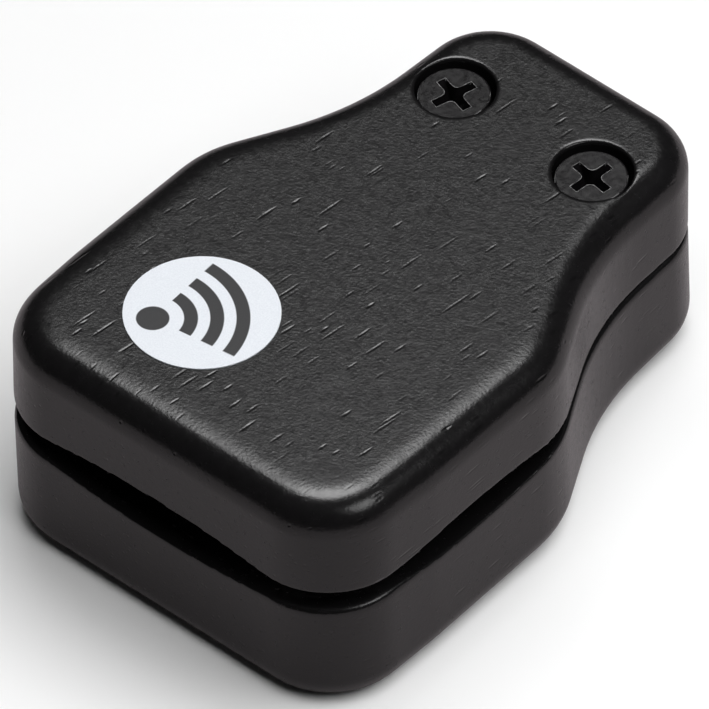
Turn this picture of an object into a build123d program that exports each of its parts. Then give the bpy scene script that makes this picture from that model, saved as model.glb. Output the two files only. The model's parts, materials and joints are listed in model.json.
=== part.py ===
"""A pair of hand castanets: two stained wooden halves held at the neck by two screws.

Frame: millimetres, +X across the width, +Y along the length towards the screwed neck, +Z up.
The origin is on the resting surface, under the middle of the lower half. The upper half is
built in its closed position and stands open about the back edge of the neck, as springs hold it.
"""
import os
from math import radians, sin, tan

from build123d import *

# Outline of a half, given as the corners of its right side before they are rounded.
length = 73.0
front_width = 50.4
cheek_width, cheek_y = 51.6, -20.8
shoulder_width, shoulder_y = 51.4, 0.0
waist_width, waist_y = 35.0, 15.5
back_width = 33.0
front_radius = 9.6
cheek_radius = 30.0
shoulder_radius = 14.6
waist_radius = 34.0
back_radius = 8.3

# Thicknesses and rounded edges of the halves.
lower_thickness = 15.0
upper_thickness = 12.0
outer_edge_radius = 3.7
lower_seam_radius = 0.8
upper_seam_radius = 0.3
closed_gap = 0.2

# The swing: the upper half rocks about a line just inside the back edge of the neck.
open_angle = 2.0
pivot_y = length / 2 - 1.0
pivot_z = lower_thickness + closed_gap / 2
upper_bottom = lower_thickness + closed_gap
upper_top = upper_bottom + upper_thickness

# Sound dish in both inner faces, a shallow piece of a sphere that breaks out at the edges.
dish_y = -12.3
dish_rim_radius = 29.0
dish_depth = 4.2
dish_sphere_radius = (dish_rim_radius**2 + dish_depth**2) / (2 * dish_depth)

# Screws through the neck, and the counterbores that sink their heads.
screw_x = 9.75
screw_y = 23.9
shank_radius = 2.0
head_radius = 4.05
head_height = 2.2
head_edge_radius = 0.25
thread_root_radius = 1.65
thread_pitch = 0.7
thread_turns = 12
tip_chamfer = 0.5
recess_span = 5.2
recess_arm_width = 1.1
recess_depth = 2.6
recess_root_radius = 0.7
recess_wing_slope = 26.5
recess_side_draft = 4.0
recess_turn = {"left": -16.5, "right": -8.5}
counterbore_radius = 4.45
counterbore_floor = 8.2
clearance_radius = 2.5
arris_chamfer = 0.12
# The holes sit this far forward, so that the fixed screws stay central over the swing.
hole_setback = 0.17

washer_radius = 4.1
washer_hole_radius = 2.15
washer_thickness = 0.6
washer_clearance = 0.03

# Threaded inserts in the lower half.
insert_root_radius = 2.9
insert_crest_radius = 3.5
insert_bore_radius = 2.03
insert_pitch = 1.5
insert_turns = 6
insert_sunk = 0.3
insert_clearance = 0.02
insert_hole_spare = 1.0

# Return springs in blind pockets ahead of the screws.
spring_x = screw_x
spring_y = 17.6
spring_mean_radius = 1.65
spring_wire_radius = 0.3
spring_turns = 6.5
spring_pocket_radius = 2.3
spring_pocket_depth = 4.0
spring_clearance = 0.05

# Round label on the top face.
badge_x, badge_y = -7.8, -20.0
badge_radius = 8.5
badge_thickness = 0.15

sides = {"left": -1, "right": 1}

# The open position, as a plane that carries the closed coordinates of the upper half.
swing = Location((0, pivot_y, pivot_z), (-open_angle, 0, 0)) * Location((0, -pivot_y, -pivot_z))
upper_frame = Plane(swing)


def rise(y):
    """How far opening lifts a point of the upper half that lies at y."""
    return (pivot_y - y) * sin(radians(open_angle))


def bell_outline(plane):
    """The outline that both halves share: a broad mouth, round shoulders and a narrow neck."""
    with BuildSketch(plane) as outline:
        with BuildLine():
            FilletPolyline(
                (0, -length / 2),
                (front_width / 2, -length / 2),
                (cheek_width / 2, cheek_y),
                (shoulder_width / 2, shoulder_y),
                (waist_width / 2, waist_y),
                (back_width / 2, length / 2),
                (0, length / 2),
                radius=[front_radius, cheek_radius, shoulder_radius, waist_radius, back_radius],
            )
            mirror(about=Plane.YZ)
        make_face()
    return outline.sketch


def pair(x, y):
    """The left and right places, in a sketch, of something that comes twice."""
    return [(sign * x, y) for sign in sides.values()]


def cross(plane, turn, depth):
    """The outline of the screwdriver recess at a depth below the face of the head."""
    span = recess_span - 2 * depth * tan(radians(recess_wing_slope))
    arm_width = recess_arm_width - 2 * depth * tan(radians(recess_side_draft))
    with BuildSketch(plane.offset(-depth)) as outline:
        with Locations(Rotation(0, 0, turn)):
            Rectangle(span, arm_width)
            Rectangle(arm_width, span)
        fillet(outline.vertices().sort_by_distance((0, 0, 0))[:4], recess_root_radius)
    return outline.sketch


def save(part, name):
    part.label = name
    export_step(part, f"parts/{name}.step")


os.makedirs("parts", exist_ok=True)

# Lower half: rounded below, dished above, bored for the inserts and the springs.
insert_top = lower_thickness - insert_sunk
insert_length = insert_turns * insert_pitch
with BuildPart() as lower_shell:
    extrude(bell_outline(Plane.XY), amount=lower_thickness)
    fillet(lower_shell.faces().sort_by(Axis.Z)[0].edges(), outer_edge_radius)
    fillet(lower_shell.faces().sort_by(Axis.Z)[-1].edges(), lower_seam_radius)
    with Locations((0, dish_y, lower_thickness + dish_sphere_radius - dish_depth)):
        Sphere(dish_sphere_radius, mode=Mode.SUBTRACT)
    with BuildSketch(Plane.XY.offset(lower_thickness)):
        with Locations(*pair(screw_x, screw_y)):
            Circle(insert_crest_radius + insert_clearance)
    extrude(amount=-(insert_sunk + insert_length + insert_hole_spare), mode=Mode.SUBTRACT)
    with BuildSketch(Plane.XY.offset(lower_thickness)):
        with Locations(*pair(spring_x, spring_y)):
            Circle(spring_pocket_radius)
    extrude(amount=-spring_pocket_depth, mode=Mode.SUBTRACT)
save(lower_shell.part, "lower_shell")

# Upper half: rounded above, dished below, with counterbored holes for the screws.
with BuildPart(upper_frame) as upper_shell:
    extrude(bell_outline(upper_frame.offset(upper_bottom)), amount=upper_thickness)
    fillet(upper_shell.faces().sort_by(Axis.Z)[-1].edges(), outer_edge_radius)
    fillet(upper_shell.faces().sort_by(Axis.Z)[0].edges(), upper_seam_radius)
    with Locations((0, dish_y, upper_bottom - dish_sphere_radius + dish_depth)):
        Sphere(dish_sphere_radius, mode=Mode.SUBTRACT)
    with BuildSketch(upper_frame.offset(upper_bottom + counterbore_floor)):
        with Locations(*pair(screw_x, screw_y - hole_setback)):
            Circle(counterbore_radius)
    extrude(amount=upper_thickness, mode=Mode.SUBTRACT)
    chamfer(upper_shell.faces().sort_by(Axis.Z)[-1].edges().filter_by(GeomType.CIRCLE)
            .filter_by(lambda e: abs(e.radius - counterbore_radius) < 0.01), arris_chamfer)
    with BuildSketch(upper_frame.offset(upper_bottom)):
        with Locations(*pair(screw_x, screw_y - hole_setback)):
            Circle(clearance_radius)
    extrude(amount=upper_thickness, mode=Mode.SUBTRACT)
    with BuildSketch(upper_frame.offset(upper_bottom)):
        with Locations(*pair(spring_x, spring_y - hole_setback)):
            Circle(spring_pocket_radius)
    extrude(amount=spring_pocket_depth, mode=Mode.SUBTRACT)
save(upper_shell.part, "upper_shell")

# The washers lie on the front edge of the tilted counterbore floors, and the heads on them.
washer_bottom = upper_bottom + counterbore_floor + rise(screw_y - washer_radius) + washer_clearance
head_bottom = washer_bottom + washer_thickness
head_top = head_bottom + head_height
screw_tip = insert_top - insert_length + thread_pitch
thread_points = []
for turn in range(thread_turns):
    thread_z = screw_tip + tip_chamfer + turn * thread_pitch
    thread_points.append((thread_root_radius, thread_z))
    thread_points.append((shank_radius, thread_z + thread_pitch / 2))

insert_points = []
for turn in range(insert_turns):
    ridge_z = insert_top - insert_length + turn * insert_pitch
    insert_points.append((insert_root_radius, ridge_z))
    insert_points.append((insert_crest_radius, ridge_z + insert_pitch * 0.35))
    insert_points.append((insert_crest_radius, ridge_z + insert_pitch * 0.65))

for side, sign in sides.items():
    axis = Axis((sign * screw_x, screw_y, 0), (0, 0, 1))
    profile_plane = Plane(origin=axis.position, x_dir=(1, 0, 0), z_dir=(0, -1, 0))

    with BuildPart() as screw:
        with BuildSketch(profile_plane):
            with BuildLine():
                Polyline(
                    (0, screw_tip),
                    (thread_root_radius - tip_chamfer, screw_tip),
                    *thread_points,
                    (shank_radius, head_bottom),
                    (head_radius, head_bottom),
                    (head_radius, head_top),
                    (0, head_top),
                    close=True,
                )
            make_face()
        revolve(axis=axis)
        fillet(screw.faces().sort_by(Axis.Z)[-1].edges(), head_edge_radius)
        head_plane = Plane((sign * screw_x, screw_y, head_top))
        recess_levels = [cross(head_plane, recess_turn[side], depth) for depth in (0, recess_depth)]
        loft(recess_levels, ruled=True, mode=Mode.SUBTRACT)
    save(screw.part, f"screw_{side}")

    with BuildPart() as washer:
        with BuildSketch(Plane((sign * screw_x, screw_y, washer_bottom))):
            Circle(washer_radius)
            Circle(washer_hole_radius, mode=Mode.SUBTRACT)
        extrude(amount=washer_thickness)
    save(washer.part, f"washer_{side}")

    with BuildPart() as insert:
        with BuildSketch(profile_plane):
            with BuildLine():
                Polyline(
                    (insert_bore_radius, insert_top - insert_length),
                    *insert_points,
                    (insert_root_radius, insert_top),
                    (insert_bore_radius, insert_top),
                    close=True,
                )
            make_face()
        revolve(axis=axis)
    save(insert.part, f"insert_{side}")

    spring_foot = lower_thickness - spring_pocket_depth + spring_clearance
    pocket_ceiling = upper_bottom + spring_pocket_depth + rise(spring_y + spring_pocket_radius)
    spring_head = pocket_ceiling - spring_clearance
    coil_height = spring_head - spring_foot - 2 * spring_wire_radius
    with BuildPart() as spring:
        with BuildLine(Plane((sign * spring_x, spring_y, spring_foot + spring_wire_radius))) as coil:
            Helix(pitch=coil_height / spring_turns, height=coil_height, radius=spring_mean_radius)
        with BuildSketch(Plane(origin=coil.line @ 0, z_dir=coil.line % 0)):
            Circle(spring_wire_radius)
        sweep(is_frenet=True)
    save(spring.part, f"spring_{side}")

# The label, on the flat of the top face.
with BuildPart(upper_frame) as badge:
    with BuildSketch(upper_frame.offset(upper_top)):
        with Locations((badge_x, badge_y)):
            Circle(badge_radius)
    extrude(amount=badge_thickness)
save(badge.part, "badge")
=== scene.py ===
"""Looks for the hand castanets: stained and lacquered wood, black screws, foil label, steel springs.

Everything is in metres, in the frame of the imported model: +Y runs towards the screwed neck, +Z up.
"""
import json
from math import cos, pi, radians, sin

import bpy
import numpy as np
from mathutils import Matrix, Vector


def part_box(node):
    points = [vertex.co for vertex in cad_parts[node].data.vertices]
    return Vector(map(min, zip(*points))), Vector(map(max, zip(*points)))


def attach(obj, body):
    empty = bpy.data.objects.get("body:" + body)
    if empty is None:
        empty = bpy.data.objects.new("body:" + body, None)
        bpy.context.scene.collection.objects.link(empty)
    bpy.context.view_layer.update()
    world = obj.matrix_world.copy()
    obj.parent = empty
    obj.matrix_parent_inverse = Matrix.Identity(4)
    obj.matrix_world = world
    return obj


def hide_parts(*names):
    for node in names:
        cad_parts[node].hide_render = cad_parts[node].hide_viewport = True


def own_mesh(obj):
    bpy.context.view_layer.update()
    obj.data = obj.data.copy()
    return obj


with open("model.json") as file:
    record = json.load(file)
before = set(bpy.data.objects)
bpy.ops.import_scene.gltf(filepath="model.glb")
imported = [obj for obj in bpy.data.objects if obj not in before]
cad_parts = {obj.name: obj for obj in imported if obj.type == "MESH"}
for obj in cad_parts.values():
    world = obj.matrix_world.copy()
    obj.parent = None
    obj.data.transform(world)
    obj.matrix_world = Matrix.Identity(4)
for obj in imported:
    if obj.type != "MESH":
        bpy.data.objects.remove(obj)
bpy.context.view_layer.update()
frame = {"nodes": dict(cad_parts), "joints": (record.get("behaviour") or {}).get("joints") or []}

MM = 0.001
SCREWS = ["screw_left", "screw_right"]
hinge = frame["joints"][0]
OPEN_ANGLE = radians(hinge["range_deg"][1])

# The viewpoint: almost parallel projection from above the front right corner.
VIEW_AZIMUTH = radians(42.48)
VIEW_ELEVATION = radians(46.6)
VIEW_ROLL = radians(-2.18)
VIEW_DISTANCE = 2.6876
LENS = 1269.4
SENSOR = 36.0
AIM = Vector((-1.13, -2.96, 13.66)) * MM
CLIP = (0.1, 50.0)

# The light: a softbox behind on the left and a dim panel on the right, which only gloss mirrors, two
# fills that only give diffuse light, and a dark studio with a pale ground.
KEY_PLACE = (-0.62, 0.83, 2.0)
KEY_SIZE = (0.90, 1.05)
KEY_RADIANCE = 8.8
PANEL_PLACE = (0.97, 0.2, 1.1)
PANEL_SIZE = (0.7, 0.7)
PANEL_RADIANCE = 3.6
FILL_PLACE = (0.5, 0.2, 1.0)
FILL_SIZE = (1.2, 1.2)
FILL_RADIANCE = 3.9
BACK_FILL_PLACE = (-0.64, 0.775, 2.0)
BACK_FILL_SIZE = (0.94, 0.94)
BACK_FILL_RADIANCE = 4.5
SKY_RADIANCE = 0.02
TABLE_SIZE = 6.0
TABLE_ALBEDO = (0.9, 0.9, 0.9, 1)
MIRRORED_ALBEDO = (0.445, 0.41, 0.42, 1)

# The finish of the wood: an even fine mesh with its arrises eased by sanding. The rim of the top
# face is sanded over a broader band, and the mouths of the screw holes hardly at all.
VOXEL = 0.2 * MM
MOST_TRIANGLES = 190_000
EASING_ROUNDS = 4
HOLE_EASING_ROUNDS = 2
RIM_EASING_ROUNDS = 90
RIM_DEPTH = (2.0 * MM, 3.6 * MM)
HOLE_REACH = (5.6 * MM, 7.0 * MM)

# Noise has a scale, in cells to the metre, and its values lie mostly within this range.
NOISE_RANGE = (0.3, 0.7)

# The wood: its grain runs along the length, a few degrees off. Its vessels show as pores, one at most
# in each cell, which differ in length and depth and come in clusters.
GRAIN_ANGLE = radians(5.5)
LOWER_OFFSET = (0.031, 0.047, 0.023)
PORE_CELL = Vector((0.85, 6.0, 0.85)) * MM
PORE_HALF = Vector((0.22, 1.5, 0.22)) * MM
PORE_SHORTENING = (0.55, 2.2)
PORE_WALL = (0.2, 1.05)
PORE_WANDER = 0.25 * MM
PORE_WANDER_SCALE = 300.0
PORE_RAGGEDNESS = 0.25
PORE_RAGGED_SCALE = 2500.0
PORE_CHANCE = (0.3, 0.5)
PORE_CLUSTERS = (0.40, 0.56)
PORE_CLUSTER_SCALE = 110.0
PORE_LEAST = 0.35
PORE_DEPTH = 0.022 * MM
PORE_ROUGHNESS = 0.16
PORE_STAIN = (0.003, 0.003, 0.003, 1)
RIPPLE_DEPTH = 0.017 * MM
RIPPLE_SCALE = 3000.0
SWELL_DEPTH = 0.015 * MM
SWELL_SCALE = 500.0
STREAK_STRETCH = (1.0, 0.06, 1.0)
STREAK_SCALE = 900.0
STAIN_DARK = (0.0042, 0.0040, 0.0042, 1)
STAIN_PALE = (0.0070, 0.0066, 0.0070, 1)
LACQUER_ROUGHNESS = (0.20, 0.28)
LACQUER_SCALE = 1400.0
LACQUER_IOR = 1.5

# The black screws: fine scratches, patches of tone, and pale arrises that are partly rubbed wear and partly
# painted glints. The pale band has a breadth and a depth below the head's face, grows with how far the
# arris turns, and comes and goes in patches.
SCRATCH_DEPTH = 0.004 * MM
SCRATCH_SCALE = 3000.0
OXIDE_DARK = (0.0040, 0.0036, 0.0040, 1)
OXIDE_PALE = (0.0075, 0.0068, 0.0074, 1)
OXIDE_SCALE = 350.0
OXIDE_ROUGHNESS = (0.14, 0.22)
OXIDE_ROUGHNESS_SCALE = 1500.0
WEAR_GLINT_RADIUS = 0.12 * MM
WEAR_GLINT_DEPTH = 0.4 * MM
WEAR_GLINT_TURN = (0.006, 0.07)
WEAR_GLINT_PATCHES = (0.40, 0.60)
WEAR_GLINT_PATCH_SCALE = 1600.0
WEAR_GLINT_LEAST = 0.15
# Pale grey of the arrises near the head's face: partly rubbed wear, partly a painted glint.
WEAR_AND_GLINT_BRIGHTNESS = 0.4

# Brushed metals.
BRUSHING_DEPTH = 0.003 * MM
BRUSHING_STRETCH = (1.0, 1.0, 8.0)
BRUSHING_SCALE = 2500.0
BRASS = (0.72, 0.5, 0.2, 1)
WASHER_BRIGHTNESS = 0.06
SPRING_BRIGHTNESS = 0.55

# The printed motif of the label: a dot, with arcs that open away from it like sound waves.
MOTIF_FOCUS = Vector((-3.4, -4.1)) * MM
MOTIF_DOT = 1.8 * MM
MOTIF_ARCS = [4.1 * MM, 6.9 * MM, 9.7 * MM]
MOTIF_STROKE = 1.5 * MM
MOTIF_DIRECTION = Vector((0.64, 0.77))
MOTIF_SPREAD = radians(43)
MOTIF_EDGE = 0.05 * MM
MOTIF_END_SOFTNESS = 0.006
SPECKLE_SCALE = 6000.0
PAPER_TONES = ((0.60, 0.63, 0.68, 1), (0.80, 0.83, 0.87, 1))
INK_TONES = ((0.006, 0.006, 0.007, 1), (0.014, 0.014, 0.016, 1))
PAPER_ROUGHNESS = 0.45
INK_ROUGHNESS = 0.32


class Nodes:
    """A small writer of shader node trees."""

    def __init__(self, name):
        self.material = bpy.data.materials.new(name)
        self.material.use_nodes = True
        self.tree = self.material.node_tree
        self.tree.nodes.clear()

    def add(self, kind, inputs=None, out=0, **settings):
        """Adds a node, gives its inputs values or links, and returns one of its outputs."""
        node = self.tree.nodes.new("ShaderNode" + kind)
        for key, value in settings.items():
            setattr(node, key, value)
        for key, value in (inputs or {}).items():
            if isinstance(value, bpy.types.NodeSocket):
                self.tree.links.new(value, node.inputs[key])
            else:
                node.inputs[key].default_value = value
        return node.outputs[out]

    def place(self):
        """The shaded point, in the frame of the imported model."""
        return self.add("TexCoord", out="Object")

    def math(self, operation, a, b=0.0, clamp=False):
        return self.add("Math", {0: a, 1: b}, operation=operation, use_clamp=clamp)

    def vector(self, operation, a, b=(0, 0, 0), out="Vector"):
        return self.add("VectorMath", {0: a, 1: b}, operation=operation, out=out)

    def part(self, vector, axis):
        """One component of a vector or a colour."""
        return self.add("SeparateXYZ", {"Vector": vector}, out=axis)

    def noise(self, vector, scale, detail=2.0, roughness=0.5):
        """Soft noise around a half, with scale cells to the metre."""
        inputs = {"Vector": vector, "Scale": scale, "Detail": detail, "Roughness": roughness}
        return self.add("TexNoise", inputs)

    def range(self, value, low, high, to_low, to_high):
        inputs = {"Value": value, "From Min": low, "From Max": high, "To Min": to_low, "To Max": to_high}
        return self.add("MapRange", inputs)

    def mix(self, factor, a, b):
        return self.add("Mix", {"Factor": factor, "A": a, "B": b}, data_type="FLOAT")

    def mix_colour(self, factor, a, b):
        """Mixes two colours, whose sockets the node tells apart only by their numbers."""
        return self.add("Mix", {0: factor, 6: a, 7: b}, out=2, data_type="RGBA")

    def relief(self, height):
        """The normal of a surface with a height given in metres."""
        return self.add("Bump", {"Height": height, "Distance": 1.0, "Strength": 1.0})

    def finish(self, inputs):
        surface = self.add("BsdfPrincipled", inputs)
        output = self.tree.nodes.new("ShaderNodeOutputMaterial")
        self.tree.links.new(surface, output.inputs["Surface"])
        return self.material


def grey(value):
    return (value, value, value, 1.0)


def pores(n, grain):
    """How deep a point lies in a pore, from 0 outside to 1 at the bottom of a full one."""
    wander = n.math("SUBTRACT", n.noise(grain, PORE_WANDER_SCALE), 0.5)
    wander = n.vector("MULTIPLY", n.add("CombineXYZ", {"X": wander}), (PORE_WANDER, 0, 0))
    cells = n.vector("DIVIDE", n.vector("ADD", grain, wander), PORE_CELL)
    middle = n.add("TexVoronoi", {"Vector": cells, "Scale": 1.0}, out="Position")
    chances = middle.node.outputs["Color"]

    away = n.vector("MULTIPLY", n.vector("SUBTRACT", cells, middle), PORE_CELL)
    away = n.vector("DIVIDE", away, PORE_HALF)
    shortening = n.range(n.part(chances, "Y"), 0.0, 1.0, *PORE_SHORTENING)
    away = n.vector("MULTIPLY", away, n.add("CombineXYZ", {"X": 1.0, "Y": shortening, "Z": 1.0}))
    reach = n.vector("LENGTH", away, out="Value")
    ragged = n.math("SUBTRACT", n.noise(grain, PORE_RAGGED_SCALE), 0.5)
    reach = n.math("ADD", reach, n.math("MULTIPLY", ragged, PORE_RAGGEDNESS))

    pore = n.range(reach, *PORE_WALL, 1.0, 0.0)
    pore = n.math("MULTIPLY", pore, n.range(n.part(chances, "X"), *PORE_CHANCE, 0.0, 1.0))
    clusters = n.noise(grain, PORE_CLUSTER_SCALE)
    return n.math("MULTIPLY", pore, n.range(clusters, *PORE_CLUSTERS, PORE_LEAST, 1.0))


def wood(name, offset):
    """Black-stained open-pored wood under satin lacquer. offset moves the pattern, so halves differ."""
    n = Nodes(name)
    grain = n.add("Mapping", {"Vector": n.place(), "Location": offset, "Rotation": (0, 0, GRAIN_ANGLE)})
    pore = pores(n, grain)

    ripple = n.math("MULTIPLY", n.noise(grain, RIPPLE_SCALE), RIPPLE_DEPTH)
    swell = n.math("MULTIPLY", n.noise(grain, SWELL_SCALE), SWELL_DEPTH)
    height = n.math("MULTIPLY", n.math("ADD", ripple, swell), n.math("SUBTRACT", 1.0, pore))
    height = n.math("SUBTRACT", height, n.math("MULTIPLY", pore, PORE_DEPTH))

    stretched = n.add("Mapping", {"Vector": grain, "Scale": STREAK_STRETCH})
    colour = n.mix_colour(n.noise(stretched, STREAK_SCALE, 3.0), STAIN_DARK, STAIN_PALE)
    colour = n.mix_colour(pore, colour, PORE_STAIN)
    rough = n.range(n.noise(grain, LACQUER_SCALE, 3.0), *NOISE_RANGE, *LACQUER_ROUGHNESS)
    rough = n.mix(n.math("MULTIPLY", pore, 2.0, clamp=True), rough, PORE_ROUGHNESS)
    normal = n.relief(height)
    return n.finish({"Base Color": colour, "Roughness": rough, "Normal": normal, "IOR": LACQUER_IOR})


def screw_black(name, head_top):
    """Black oxide on steel, its arrises near the head's face painted pale: partly rubbed bright, partly
    painted glints.
    """
    n = Nodes(name)
    place = n.place()
    normal = n.relief(n.math("MULTIPLY", n.noise(place, SCRATCH_SCALE, 3.0), SCRATCH_DEPTH))

    softened = n.add("Bevel", {"Radius": WEAR_GLINT_RADIUS}, samples=8)
    true_normal = n.add("NewGeometry", out="True Normal")
    turned = n.math("SUBTRACT", 1.0, n.vector("DOT_PRODUCT", softened, true_normal, out="Value"))
    wear_and_glint = n.range(turned, *WEAR_GLINT_TURN, 0.0, 1.0)
    patches = n.range(n.noise(place, WEAR_GLINT_PATCH_SCALE, 3.0, 0.6), *WEAR_GLINT_PATCHES, WEAR_GLINT_LEAST, 1.0)
    level = n.part(place, "Z")
    near_face = n.range(level, head_top - WEAR_GLINT_DEPTH, head_top - WEAR_GLINT_DEPTH / 2, 0.0, 1.0)
    wear_and_glint = n.math("MULTIPLY", n.math("MULTIPLY", wear_and_glint, patches), near_face)

    tone = n.range(n.noise(place, OXIDE_SCALE), *NOISE_RANGE, 0.0, 1.0)
    colour = n.mix_colour(tone, OXIDE_DARK, OXIDE_PALE)
    # Pale grey on the arrises near the head's face: partly rubbed wear, partly a painted glint.
    colour = n.mix_colour(wear_and_glint, colour, grey(WEAR_AND_GLINT_BRIGHTNESS))
    rough = n.range(n.noise(place, OXIDE_ROUGHNESS_SCALE, 3.0), *NOISE_RANGE, *OXIDE_ROUGHNESS)
    return n.finish({"Base Color": colour, "Roughness": rough, "Normal": normal, "Specular IOR Level": 0.4})


def metal(name, colour, low, high):
    """Plain metal with fine brushing, whose roughness varies from low to high."""
    n = Nodes(name)
    brushed = n.add("Mapping", {"Vector": n.place(), "Scale": BRUSHING_STRETCH})
    marks = n.noise(brushed, BRUSHING_SCALE, 3.0)
    normal = n.relief(n.math("MULTIPLY", marks, BRUSHING_DEPTH))
    rough = n.range(marks, *NOISE_RANGE, low, high)
    return n.finish({"Base Color": colour, "Roughness": rough, "Metallic": 1.0, "Normal": normal})


def foil(name, centre):
    """Silver-white label with fine speckle, printed in black with a dot and sound-wave arcs."""
    n = Nodes(name)
    place = n.place()
    focus = Vector((centre.x + MOTIF_FOCUS.x, centre.y + MOTIF_FOCUS.y, 0))
    offset = n.vector("MULTIPLY", n.vector("SUBTRACT", place, focus), (1, 1, 0))
    distance = n.vector("LENGTH", offset, out="Value")
    heading = n.vector("DOT_PRODUCT", offset, (*MOTIF_DIRECTION.normalized(), 0), out="Value")
    heading = n.math("DIVIDE", heading, n.math("MAXIMUM", distance, MM / 10))
    end = cos(MOTIF_SPREAD)
    inside = n.range(heading, end - MOTIF_END_SOFTNESS, end + MOTIF_END_SOFTNESS, 0.0, 1.0)

    ink = 0.0
    half = MOTIF_STROKE / 2
    for radius in MOTIF_ARCS:
        away = n.math("ABSOLUTE", n.math("SUBTRACT", distance, radius))
        ink = n.math("ADD", ink, n.range(away, half - MOTIF_EDGE, half + MOTIF_EDGE, 1.0, 0.0))
    dot = n.range(distance, MOTIF_DOT - MOTIF_EDGE, MOTIF_DOT + MOTIF_EDGE, 1.0, 0.0)
    ink = n.math("ADD", n.math("MULTIPLY", ink, inside), dot, clamp=True)

    speckle = n.noise(place, SPECKLE_SCALE)
    colour = n.mix_colour(ink, n.mix_colour(speckle, *PAPER_TONES), n.mix_colour(speckle, *INK_TONES))
    rough = n.mix(ink, PAPER_ROUGHNESS, INK_ROUGHNESS)
    return n.finish({"Base Color": colour, "Roughness": rough})


def applied(piece):
    """Bakes a piece's modifiers into its mesh."""
    graph = bpy.context.evaluated_depsgraph_get()
    mesh = bpy.data.meshes.new_from_object(piece.evaluated_get(graph))
    piece.modifiers.clear()
    piece.data = mesh


def vertex_places(mesh):
    places = np.empty(len(mesh.vertices) * 3)
    mesh.vertices.foreach_get("co", places)
    return places.reshape(-1, 3)


def eased(mesh, rounds, share=1.0, strength=0.5):
    """Moves each vertex towards the middle of its neighbours, which rounds every arris a little.

    share is how much of that each vertex takes."""
    places = vertex_places(mesh)
    count = len(places)
    edges = np.empty(len(mesh.edges) * 2, int)
    mesh.edges.foreach_get("vertices", edges)
    edges = edges.reshape(-1, 2)
    degree = np.bincount(edges.ravel(), minlength=count)[:, None]
    pull = strength * np.broadcast_to(share, count)[:, None]
    for _ in range(rounds):
        total = np.zeros_like(places)
        for axis in range(3):
            total[:, axis] += np.bincount(edges[:, 0], places[edges[:, 1], axis], count)
            total[:, axis] += np.bincount(edges[:, 1], places[edges[:, 0], axis], count)
        places += pull * (total / degree - places)
    mesh.vertices.foreach_set("co", places.ravel())
    mesh.update()


def thinned(piece, most):
    """Merges triangles where the surface is nearly flat, until there are at most so many."""
    count = sum(len(face.vertices) - 2 for face in piece.data.polygons)
    if count > most:
        piece.modifiers.new("thin", "DECIMATE").ratio = most / count
        applied(piece)
        piece.data.shade_smooth()


def ramp(values, low, high):
    """0 up to low, 1 from high on, and smooth between."""
    t = np.clip((values - low) / (high - low), 0, 1)
    return t * t * (3 - 2 * t)


def clear_of_holes(places):
    """1 away from the screw holes, 0 at their mouths."""
    clear = np.ones(len(places))
    for screw in SCREWS:
        low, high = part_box(screw)
        middle = np.array((low + high) / 2)[:2]
        reach = np.linalg.norm(places[:, :2] - middle, axis=1)
        clear *= ramp(reach, *HOLE_REACH)
    return clear


def top_depth(places, tilt):
    """How far each point lies below the top face, which rises to the front by the angle tilt."""
    height = places @ np.array((0, -sin(tilt), cos(tilt)))
    return height.max() - height


def copy_of(node, name, material):
    """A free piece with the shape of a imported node, and a material of its own."""
    piece = frame["nodes"][node].copy()
    piece.data = piece.data.copy()
    piece.data.materials.clear()
    piece.data.materials.append(material)
    piece.parent = None
    piece.name = name
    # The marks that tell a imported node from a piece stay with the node.
    for mark in list(piece.keys()):
        del piece[mark]
    bpy.context.scene.collection.objects.link(piece)
    return piece


def wooden_half(node, body, material, rim_tilt=None):
    """The visible wood of one half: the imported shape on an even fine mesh, its edges eased.

    rim_tilt is the slope of a top face whose rim is sanded broadly."""
    piece = copy_of(node, node.replace("shell", "wood"), material)
    remesh = piece.modifiers.new("even", "REMESH")
    remesh.mode = "VOXEL"
    remesh.voxel_size = VOXEL
    remesh.use_smooth_shade = True
    applied(piece)
    eased(piece.data, HOLE_EASING_ROUNDS)
    eased(piece.data, EASING_ROUNDS - HOLE_EASING_ROUNDS, clear_of_holes(vertex_places(piece.data)))
    if rim_tilt is not None:
        places = vertex_places(piece.data)
        near_rim = 1 - ramp(top_depth(places, rim_tilt), *RIM_DEPTH)
        eased(piece.data, RIM_EASING_ROUNDS, near_rim * clear_of_holes(places))
    thinned(piece, MOST_TRIANGLES)
    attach(piece, body)
    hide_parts(node)


def return_spring(side, material):
    """A coil that stands in its pocket in the lower half."""
    node = f"spring_{side}"
    piece = copy_of(node, f"coil_{side}", material)
    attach(piece, "lower_half")
    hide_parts(node)
    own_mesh(piece)


def dress(nodes, material):
    for node in nodes:
        for slot in frame["nodes"][node].material_slots:
            slot.material = material


def add_table():
    """A pale table, which is darker in the reflections on the lacquer than to the eye."""
    half = TABLE_SIZE / 2
    corners = [(-half, -half, 0), (half, -half, 0), (half, half, 0), (-half, half, 0)]
    mesh = bpy.data.meshes.new("table")
    mesh.from_pydata(corners, [], [(0, 1, 2, 3)])
    table = bpy.data.objects.new("table", mesh)
    bpy.context.scene.collection.objects.link(table)
    n = Nodes("table_white")
    seen = n.add("LightPath", out="Is Camera Ray")
    albedo = n.mix_colour(seen, MIRRORED_ALBEDO, TABLE_ALBEDO)
    mesh.materials.append(n.finish({"Base Color": albedo, "Roughness": 0.9, "Specular IOR Level": 0.0}))


def add_light(name, place, size, radiance, mirrored):
    """A softbox that faces down, and is only mirrored by gloss or only gives diffuse light."""
    data = bpy.data.lights.new(name, "AREA")
    data.shape = "RECTANGLE"
    data.size, data.size_y = size
    data.energy = radiance * size[0] * size[1] * pi
    light = bpy.data.objects.new(name, data)
    light.location = place
    light.visible_diffuse = not mirrored
    light.visible_glossy = mirrored
    bpy.context.scene.collection.objects.link(light)


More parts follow.
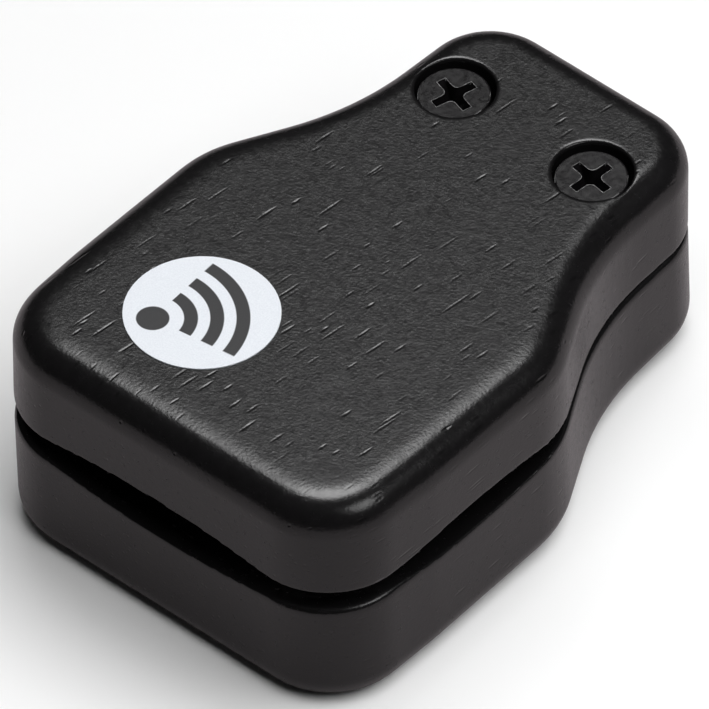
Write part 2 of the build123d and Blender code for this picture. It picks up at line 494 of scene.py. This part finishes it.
def add_studio():
    """What surrounds the table: pale to the eye, and in reflections a dark room."""
    world = bpy.data.worlds.new("studio")
    bpy.context.scene.world = world
    world.use_nodes = True
    tree = world.node_tree
    background = tree.nodes["Background"]
    background.inputs["Color"].default_value = grey(1.0)
    path = tree.nodes.new("ShaderNodeLightPath")
    strength = tree.nodes.new("ShaderNodeMix")
    tree.links.new(path.outputs["Is Camera Ray"], strength.inputs["Factor"])
    strength.inputs["A"].default_value = SKY_RADIANCE
    strength.inputs["B"].default_value = TABLE_ALBEDO[0]
    tree.links.new(strength.outputs["Result"], background.inputs["Strength"])


def add_camera():
    back = Vector((sin(VIEW_AZIMUTH) * cos(VIEW_ELEVATION),
                   -cos(VIEW_AZIMUTH) * cos(VIEW_ELEVATION), sin(VIEW_ELEVATION)))
    right = Vector((cos(VIEW_AZIMUTH), sin(VIEW_AZIMUTH), 0))
    up = back.cross(right)
    rolled_right = right * cos(VIEW_ROLL) + up * sin(VIEW_ROLL)
    rolled_up = up * cos(VIEW_ROLL) - right * sin(VIEW_ROLL)
    turn = Matrix((rolled_right, rolled_up, back)).transposed()
    data = bpy.data.cameras.new("camera")
    data.lens = LENS
    data.sensor_width = SENSOR
    data.clip_start, data.clip_end = CLIP
    camera = bpy.data.objects.new("camera", data)
    camera.matrix_world = Matrix.Translation(AIM + back * VIEW_DISTANCE) @ turn.to_4x4()
    bpy.context.scene.collection.objects.link(camera)
    bpy.context.scene.camera = camera


# The object.
wooden_half("upper_shell", "upper_half", wood("upper_stain", (0.0, 0.0, 0.0)), OPEN_ANGLE)
wooden_half("lower_shell", "lower_half", wood("lower_stain", LOWER_OFFSET))
dress(SCREWS, screw_black("screw_black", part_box(SCREWS[0])[1].z))
dress(["washer_left", "washer_right"], metal("washer_steel", grey(WASHER_BRIGHTNESS), 0.3, 0.45))
dress(["insert_left", "insert_right"], metal("insert_brass", BRASS, 0.2, 0.35))
badge_low, badge_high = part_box("badge")
dress(["badge"], foil("badge_foil", (badge_low + badge_high) / 2))
spring_steel = metal("spring_steel", grey(SPRING_BRIGHTNESS), 0.2, 0.35)
for side in ("left", "right"):
    return_spring(side, spring_steel)

# The stage, the light and the camera.
add_table()
add_light("key", KEY_PLACE, KEY_SIZE, KEY_RADIANCE, mirrored=True)
add_light("panel", PANEL_PLACE, PANEL_SIZE, PANEL_RADIANCE, mirrored=True)
add_light("fill", FILL_PLACE, FILL_SIZE, FILL_RADIANCE, mirrored=False)
add_light("back_fill", BACK_FILL_PLACE, BACK_FILL_SIZE, BACK_FILL_RADIANCE, mirrored=False)
add_studio()
add_camera()
bpy.context.scene.view_settings.view_transform = "Standard"
